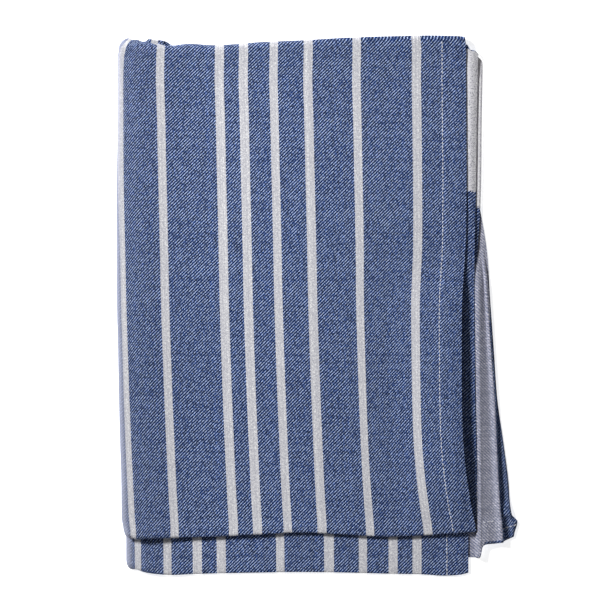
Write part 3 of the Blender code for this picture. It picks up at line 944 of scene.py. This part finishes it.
# %% The good side
BLUE_WARP = ("#000C28", "#2854A6")  # painted shade in the groove of a rib, and the yarn's colour on its crown
# the same for a weft dash: painted shade at its edges, its colour on its crown
LIGHT_WEFT = ("#10204C", "#CADCFF")
WHITE_WARP = ("#BABAC6", "#E0E0E6")
# painted light and shade on the crease's roll: the blue is painted paler towards this, a white
# stripe darker
PAINTED_ROLL_BLUE = linear("#A4A8BC")
STRIPE_PAINTED_SHADE, STRIPE_PAINTED_SHADE_POWER = 0.85, 2.0  # painted shade: how far a white stripe on the roll is painted darker
RIB_PAINTED_SHADES = (1.0, 0.56, 0.0, 0.56)  # painted shade across a rib: the weft, then the warp, darkest in the groove
DASH_EDGE_PAINTED_SHADE, DASH_MOST = 0.85, 1.3  # painted shade: how bright a dash of weft is still painted at its edges; and how bright at most


def twill_face(tree, found, tones, stripes, painted_roll_light):
    """Warp-faced twill: blue with light dashes, white where the warp is white, painted shade in the
    rib grooves, and the left crease's painted light and shade as asked.
    """
    rib = painted_rib_shade(tree, found["step"], RIB_PAINTED_SHADES)
    warp = add_node(tree, MATH, {0: rib, 1: tones["warp"]}, operation="MULTIPLY")
    blue = add_node(tree, MIX, {0: warp, **between(*BLUE_WARP)}, **BEYOND)
    crown = {0: found["weft crown"], 1: 1 - DASH_EDGE_PAINTED_SHADE, 2: DASH_EDGE_PAINTED_SHADE}
    crown = add_node(tree, MATH, crown, operation="MULTIPLY_ADD")
    weft = add_node(tree, MATH, {0: crown, 1: tones["weft"]}, operation="MULTIPLY")
    weft = add_node(tree, MATH, {0: weft, 1: DASH_MOST}, operation="MINIMUM")
    dash = add_node(tree, MIX, {0: weft, **between(*LIGHT_WEFT)}, **BEYOND)
    ground = add_node(tree, MIX, {0: found["first step"], 6: blue, 7: dash}, **COLOURS)
    # painted highlight: the blue is painted paler on the roll of the left crease
    ground = add_node(tree, MIX, {0: painted_roll_light, 6: ground, 7: PAINTED_ROLL_BLUE}, **COLOURS)
    white = add_node(tree, MIX, {0: tones["warp"], **between(*WHITE_WARP)}, **BEYOND)
    # painted shade: there a white stripe is painted darker
    painted_roll_light = add_node(tree, MATH, {0: painted_roll_light, 1: STRIPE_PAINTED_SHADE_POWER}, operation="POWER")
    painted_roll_light = add_node(tree, MATH, {0: painted_roll_light, 1: STRIPE_PAINTED_SHADE}, operation="MULTIPLY")
    white = add_node(tree, MIX, {0: painted_roll_light, 6: white, 7: PAINTED_ROLL_BLUE}, **COLOURS)
    return add_node(tree, MIX, {0: stripes, 6: ground, 7: white}, **COLOURS)


def twill_bump(tree, found):
    """Each float stands up like a small cushion."""
    crowns = {0: found["first step"], 2: found["warp crown"], 3: found["weft crown"]}
    height = add_node(tree, MIX, crowns, data_type="FLOAT")
    cushion = {"Strength": 0.5, "Distance": 0.15 * MM, "Filter Width": 0.3, "Height": height}
    return add_node(tree, "ShaderNodeBump", cushion)


# %% [markdown]
# ## The white stretch of an edge
#
# Near the top crease the second half's edge is white, with a few grey specks. It ends in small
# teeth where the warp threads change. A second material on those faces would end along the grid.
# Drawn from the flat place it ends thread by thread.

# %% The white stretch
PATCH_START, PATCH_END = -108.6, 123.0  # along the edge, on both sides of the top crease
PATCH_GAP, PATCH_DEPTH, PATCH_TEETH = 7.2, 20.0, 1.6  # off the crease, from the edge, at its ends
SPECK_DEPTH, SPECK_SHARE, SPECK_LEAST = 5.5, 0.55, 1.42
PATCH_WARP, SPECK_GREY = ("#DCDAE4", "#F4F3F8"), linear("#5C6078")


def patched(tree, found, tones, colour, speck_depth):
    """The colour, with the white stretch over it and specks as far from the edge as asked."""
    millimetres = {0: found["flat"], 1: (1 / MM,) * 3}
    millimetres = add_node(tree, VECTOR_MATH, millimetres, operation="MULTIPLY")
    across, place, _ = add_node(tree, "ShaderNodeSeparateXYZ", {0: millimetres}).node.outputs
    tooth = add_node(tree, EACH, {"W": found["warp"]}, noise_dimensions="1D")
    along = {0: tooth, 1: PATCH_TEETH, 2: place}
    along = add_node(tree, MATH, along, operation="MULTIPLY_ADD")
    middle, half = (PATCH_START + PATCH_END) / 2, (PATCH_END - PATCH_START) / 2
    inside = add_node(tree, MATH, {0: along, 1: middle, 2: half}, operation="COMPARE")
    off_crease = add_node(tree, MATH, {0: place}, operation="ABSOLUTE")
    off_crease = add_node(tree, MATH, {0: off_crease, 1: PATCH_GAP}, operation="GREATER_THAN")
    inside = add_node(tree, MATH, {0: inside, 1: off_crease}, operation="MULTIPLY")
    beside, in_specks = (
        add_node(tree, MATH, {0: across, 1: WIDTH / MM - depth}, operation="GREATER_THAN")
        for depth in (PATCH_DEPTH, speck_depth)
    )
    white = add_node(tree, MIX, {0: tones["warp"], **between(*PATCH_WARP)}, **BEYOND)
    speck = add_node(tree, MATH, {0: tones["cell"], 1: SPECK_LEAST}, operation="GREATER_THAN")
    for share in (in_specks, SPECK_SHARE):
        speck = add_node(tree, MATH, {0: speck, 1: share}, operation="MULTIPLY")
    white = add_node(tree, MIX, {0: speck, 6: white, 7: SPECK_GREY}, **COLOURS)
    share = add_node(tree, MATH, {0: inside, 1: beside}, operation="MULTIPLY")
    return add_node(tree, MIX, {0: share, 6: colour, 7: white}, **COLOURS)


# %% The material of the good side
COTTON = {  # matt and rough, with an IOR of about 1.5 and a trace of sheen from its loose fibres
    "Roughness": 0.92, "IOR": 1.5, "Specular IOR Level": 0.2,
    "Sheen Weight": 0.05, "Sheen Roughness": 0.5, "Sheen Tint": linear("#E6EAF5"),
}


def make_good_side(name):
    """Cotton twill, woven from yarn dyed blue and bleached yarn: slanting ribs without gloss."""
    material, tree, sockets = new_material(name, COTTON)
    found = find_threads(tree)
    tones = thread_tones(tree, found)
    # painted light and shade on the roll of the left crease
    painted_roll_light = add_node(tree, "ShaderNodeAttribute", attribute_name="painted_roll_light", out=2)
    colour = twill_face(tree, found, tones, stripe_chart(tree, found), painted_roll_light)
    tree.links.new(patched(tree, found, tones, colour, 0.0), sockets["Base Color"])
    tree.links.new(twill_bump(tree, found), sockets["Normal"])
    return material


# %% The material of the reverse
# the reverse's weft, from painted shade to its own colour
PALE_WEFT = ("#50566C", "#BFBFCB")
REVERSE_PAINTED_SHADES = (0.3, 0.82, 1.1, 0.88)  # painted shade across a rib: darkest beside the warp dash, lightest in the middle of the weft
REVERSE_EVENNESS = 0.35  # of the reverse's soft weft threads
DASH_SHARE = 0.5  # how much of the blue shows between the reverse's weft threads
END_TURN, END_TURN_TO = 1.6, 30.0 * MM  # at an end the blue face just shows, near the first edge


def make_reverse(name):
    """Cotton twill from behind: mostly weft, so paler and greyer. Its hems show the good side."""
    material, tree, sockets = new_material(name, COTTON)
    found = find_threads(tree)
    tones = thread_tones(tree, found)
    # painted shade across each rib of the reverse
    rib = painted_rib_shade(tree, found["step"], REVERSE_PAINTED_SHADES)
    weft = add_node(tree, MIX, {0: REVERSE_EVENNESS, 2: tones["weft"], 3: 1.0})
    weft = add_node(tree, MATH, {0: weft, 1: rib}, operation="MULTIPLY")
    pale = add_node(tree, MIX, {0: weft, **between(*PALE_WEFT)}, **BEYOND)
    dash = add_node(tree, MATH, {0: found["first step"], 1: DASH_SHARE}, operation="MULTIPLY")
    pale = add_node(tree, MIX, {0: dash, 6: pale, 7: linear(BLUE_WARP[1])}, **COLOURS)
    turned = find_threads(tree, turn_over=True)
    hem = twill_face(tree, turned, thread_tones(tree, turned), 0.0, 0.0)
    across = add_node(tree, "ShaderNodeSeparateXYZ", {0: found["flat"]})
    middle = add_node(tree, MATH, {0: across, 1: -WIDTH / 2}, operation="ADD")
    middle = add_node(tree, MATH, {0: middle}, operation="ABSOLUTE")
    in_hem = add_node(tree, MATH, {0: middle, 1: WIDTH / 2 - HEM}, operation="GREATER_THAN")
    at_end = add_node(tree, MATH, {0: found["to end"], 1: END_TURN}, operation="LESS_THAN")
    at_margin = add_node(tree, MATH, {0: across, 1: END_TURN_TO}, operation="LESS_THAN")
    at_end = add_node(tree, MATH, {0: at_end, 1: at_margin}, operation="MULTIPLY")
    in_hem = add_node(tree, MATH, {0: in_hem, 1: at_end}, operation="MAXIMUM")
    colour = add_node(tree, MIX, {0: in_hem, 6: pale, 7: hem}, **COLOURS)
    tree.links.new(patched(tree, found, tones, colour, SPECK_DEPTH), sockets["Base Color"])
    tree.links.new(twill_bump(tree, found), sockets["Normal"])
    return material


# %% Put both sides on the sheet
towel.data.materials.append(make_good_side("cotton twill, good side"))
towel.data.materials.append(make_reverse("cotton twill, reverse"))
print("sides:", ", ".join(material.name for material in towel.data.materials))

# %% [markdown]
# ## The lockstitch
#
# The side hems are sewn with white cotton thread, in stitches of 3 mm, and so are the end hems,
# which show at one corner. A lockstitch is a row of short grains, each sinking into the cloth at its
# ends. A texture could draw them, but they catch the light, so each is a slim ellipsoid, pressed
# half into the sheet, and all of them are joined into one mesh.

# %% Lines of sewing on the sheet
END_ROWS = 6  # above the end's own, where the end sewing may lie


def grid_normal(c, r):
    """The direction out of the good side, from the grid's neighbours."""
    left, right = columns[max(c - 1, 0)][r], columns[min(c + 1, len(columns) - 1)][r]
    below, above = columns[c][max(r - 1, 0)], columns[c][min(r + 1, len(columns[0]) - 1)]
    across = Vector(right[:3]) - Vector(left[:3])
    along = Vector(above[:3]) - Vector(below[:3])
    return across.cross(along).normalized()


def seam(paths, distance, wanted):
    """Places and normals where paths over the grid first come to the wanted distance."""
    line = []
    for path in paths:
        for (c, r), (next_c, next_r) in zip(path, path[1:]):
            a, b = distance(c, r), distance(next_c, next_r)
            if (a - wanted) * (b - wanted) <= 0 and a != b:
                here, there = Vector(columns[c][r][:3]), Vector(columns[next_c][next_r][:3])
                line.append((here.lerp(there, (wanted - a) / (b - a)), grid_normal(c, r)))
                break
    return line


def side_seam(flat_x, rows):
    """Along a side, at a set place across the flat towel."""
    paths = [[(c, r) for c in range(len(columns))] for r in rows]
    return seam(paths, lambda c, r: columns[c][r].flat, flat_x)


def end_seam(from_end, column_numbers):
    """Across the last end, at a set distance from it."""
    rows = range(len(columns[0]) - END_STEPS - END_ROWS, len(columns[0]))
    paths = [[(c, r) for r in rows] for c in column_numbers]
    return seam(paths, lambda c, r: flats[c][r].z, from_end)


# %% Single stitches
STITCH_PITCH, STITCH_LENGTH, STITCH_WIDTH = 3.0 * MM, 2.6 * MM, 0.8 * MM
STITCH_HEIGHT = 0.8  # as a share of its width
SWING, STRAY, LENGTHS = 0.16, 0.1 * MM, (0.85, 1.08)  # how uneven they are
shake = random.Random(11)


def stitch_frames(line, face):
    """A matrix for each stitch along a line of places and normals."""
    frames, walked, wanted = [], 0.0, STITCH_PITCH / 2
    for (a, normal), (b, _) in zip(line, line[1:]):
        length = (b - a).length
        while walked + length >= wanted and length > 0:
            place = a.lerp(b, (wanted - walked) / length)
            up = normal * face
            ahead = (b - a).normalized()
            aside = up.cross(ahead).normalized()
            ahead = aside.cross(up).normalized()
            swing = shake.uniform(-SWING, SWING)
            ahead, aside = (
                ahead * math.cos(swing) + aside * math.sin(swing),
                aside * math.cos(swing) - ahead * math.sin(swing),
            )
            place = place + up * (THICKNESS / 2) + aside * shake.uniform(-STRAY, STRAY)
            turn = Matrix((ahead, aside, up)).transposed().to_4x4()
            half_length, half_width = STITCH_LENGTH / 2 * shake.uniform(*LENGTHS), STITCH_WIDTH / 2
            size = Matrix.Diagonal((half_length, half_width, half_width * STITCH_HEIGHT, 1.0))
            frames.append(Matrix.Translation(place) @ turn @ size)
            wanted += STITCH_PITCH
        walked += length
    return frames


# %% Make the stitches
CORNER_SEAM, CORNER_COLUMNS = 9 * MM, range(0, 9)  # of the end hem, on the margin of layer 4
TONGUE_SEAM, TONGUE_COLUMNS = 16 * MM, range(12, 17)  # and beside it, on its reverse
TOP_PLACE = (40, 60)  # a column and a row in the middle of the top layer


def make_stitches(name, frames):
    bm = bmesh.new()
    for frame_matrix in frames:
        bmesh.ops.create_uvsphere(bm, u_segments=8, v_segments=6, radius=1.0, matrix=frame_matrix)
    stitches = add_object(name, bm)
    stitches.data.shade_smooth()
    return stitches


good_side = 1 if grid_normal(*TOP_PLACE).z > 0 else -1
seams = (
    (side_seam(HEM, range(END_STEPS, top_row + 1)), good_side),
    (side_seam(WIDTH - HEM, range(low_row, len(columns[0]) - END_STEPS // 2)), good_side),
    (end_seam(CORNER_SEAM, CORNER_COLUMNS), -good_side),
    (end_seam(TONGUE_SEAM, TONGUE_COLUMNS), -good_side),
)
frames = [frame_matrix for line, face in seams for frame_matrix in stitch_frames(line, face)]
stitches = make_stitches("hem_stitches", frames)
print(len(frames), "stitches in", len(seams), "seams")

# %% Sewing thread
THREAD = {"Roughness": 0.6, "Sheen Weight": 0.2}
FIBRE = 0.5 * MM  # the twist of the thread


def make_thread(name):
    """Bleached, mercerised cotton: white, with a faint sheen from its smooth fibres."""
    material, tree, sockets = new_material(name, THREAD)
    spun = add_node(tree, "ShaderNodeTexNoise", {"Scale": 1 / FIBRE, "Detail": 2.0})
    colour = add_node(tree, MIX, {0: spun, **between("#C8CAD6", "#F7F8FC")}, **COLOURS)
    twist = {"Strength": 0.4, "Distance": 0.05 * MM, "Height": spun}
    tree.links.new(colour, sockets["Base Color"])
    tree.links.new(add_node(tree, "ShaderNodeBump", twist), sockets["Normal"])
    return material


stitches.data.materials.append(make_thread("white sewing thread"))

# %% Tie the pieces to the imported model
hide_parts("towel")
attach(towel, "root")
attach(stitches, "root")

# %% [markdown]
# ## Floor, light and camera
#
# The towel was photographed from straight above on a white ground, with a broad light from the
# upper left. The floor is matt white board. Light alone would leave it grey where the towel is well
# lit, so it glows too. The camera stands far off, so that a layer's height hardly changes its size.

# %% Floor
FLOOR_SIZE, FLOOR_DROP = 40.0, 0.05 * MM
BOARD = {  # coated board scatters light evenly and hardly shines
    "Base Color": linear("#F4F4F4"), "Roughness": 0.95, "Specular IOR Level": 0.1,
    "Emission Color": (1.0, 1.0, 1.0, 1.0), "Emission Strength": 0.75,
}
bm = bmesh.new()
bmesh.ops.create_grid(bm, x_segments=2, y_segments=2, size=FLOOR_SIZE / 2)
floor = add_object("board", bm)
floor.data.materials.append(new_material("matt white board", BOARD)[0])
floor.location.z = -FLOOR_DROP

# %% Light
KEY_SIZE, KEY_DISTANCE, KEY_POWER = 0.38, 1.6, 27.5
KEY_FROM = (-0.70, 0.46, 0.66)
SKY_STRENGTH = 0.12


def make_key():
    light = bpy.data.lights.new("broad light", "AREA")
    light.shape = "DISK"
    light.size = KEY_SIZE
    light.energy = KEY_POWER
    lamp = bpy.data.objects.new("broad light", light)
    direction = Vector(KEY_FROM).normalized()
    lamp.location = direction * KEY_DISTANCE
    lamp.rotation_euler = direction.to_track_quat("Z", "Y").to_euler()
    bpy.context.scene.collection.objects.link(lamp)


def make_sky():
    world = bpy.data.worlds.new("white room")
    world.use_nodes = True
    background = world.node_tree.nodes["Background"]
    background.inputs["Color"].default_value = (1.0, 1.0, 1.0, 1.0)
    background.inputs["Strength"].default_value = SKY_STRENGTH
    bpy.context.scene.world = world


make_key()
make_sky()
bpy.context.scene.view_settings.view_transform = "Standard"

# %% Camera
VIEW_WIDTH = 440.6 * MM  # of the floor that the photo shows
VIEW_CENTRE = (-8.3 * MM, -0.1 * MM)
VIEW_LEVEL = 5 * MM  # the height at which the view has that width
LENS, SENSOR_WIDTH = 105.0, 36.0

camera_data = bpy.data.cameras.new("camera")
camera_data.lens = LENS
camera = bpy.data.objects.new("camera", camera_data)
camera.location = (*VIEW_CENTRE, VIEW_WIDTH * LENS / SENSOR_WIDTH + VIEW_LEVEL)
bpy.context.scene.collection.objects.link(camera)
bpy.context.scene.camera = camera
print("the camera stands", round(camera.location.z, 2), "m up")
